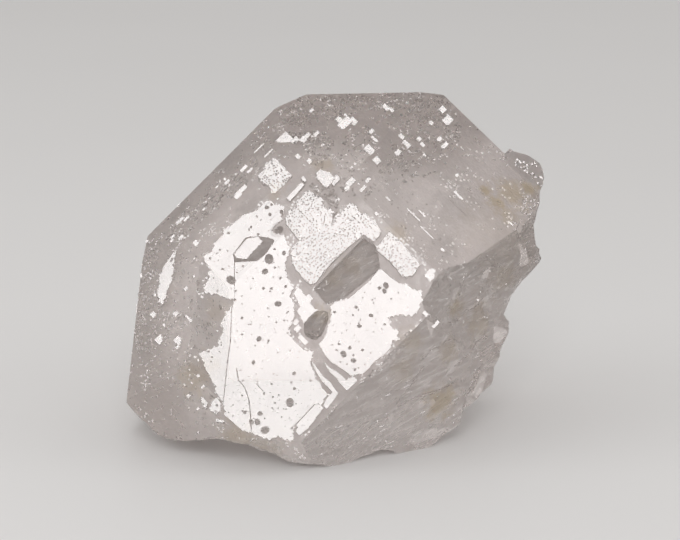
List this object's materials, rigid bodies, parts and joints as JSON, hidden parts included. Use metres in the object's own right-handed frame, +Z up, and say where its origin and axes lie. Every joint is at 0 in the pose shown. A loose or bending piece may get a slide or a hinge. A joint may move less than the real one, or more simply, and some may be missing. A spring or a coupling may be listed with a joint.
{
  "type": "fluorite crystal",
  "caption": "Clear natural fluorite crystal: a cube with bevelled edges, stepped growth plates and a broken base that it stands on.",
  "frame": {"origin": "middle of the crystal's box on the surface it stands on", "axes": "+Z up, -Y the way the large cube face looks, +X to the right of someone facing it"},
  "size_m": [0.0566, 0.05, 0.0451],
  "materials": {
    "crystal": "clear but cloudy, with bright flat growth plates and frosted bevels"
  },
  "bodies": {
    "root": {"fluorite_crystal": "crystal"}
  },
  "joints": []
}
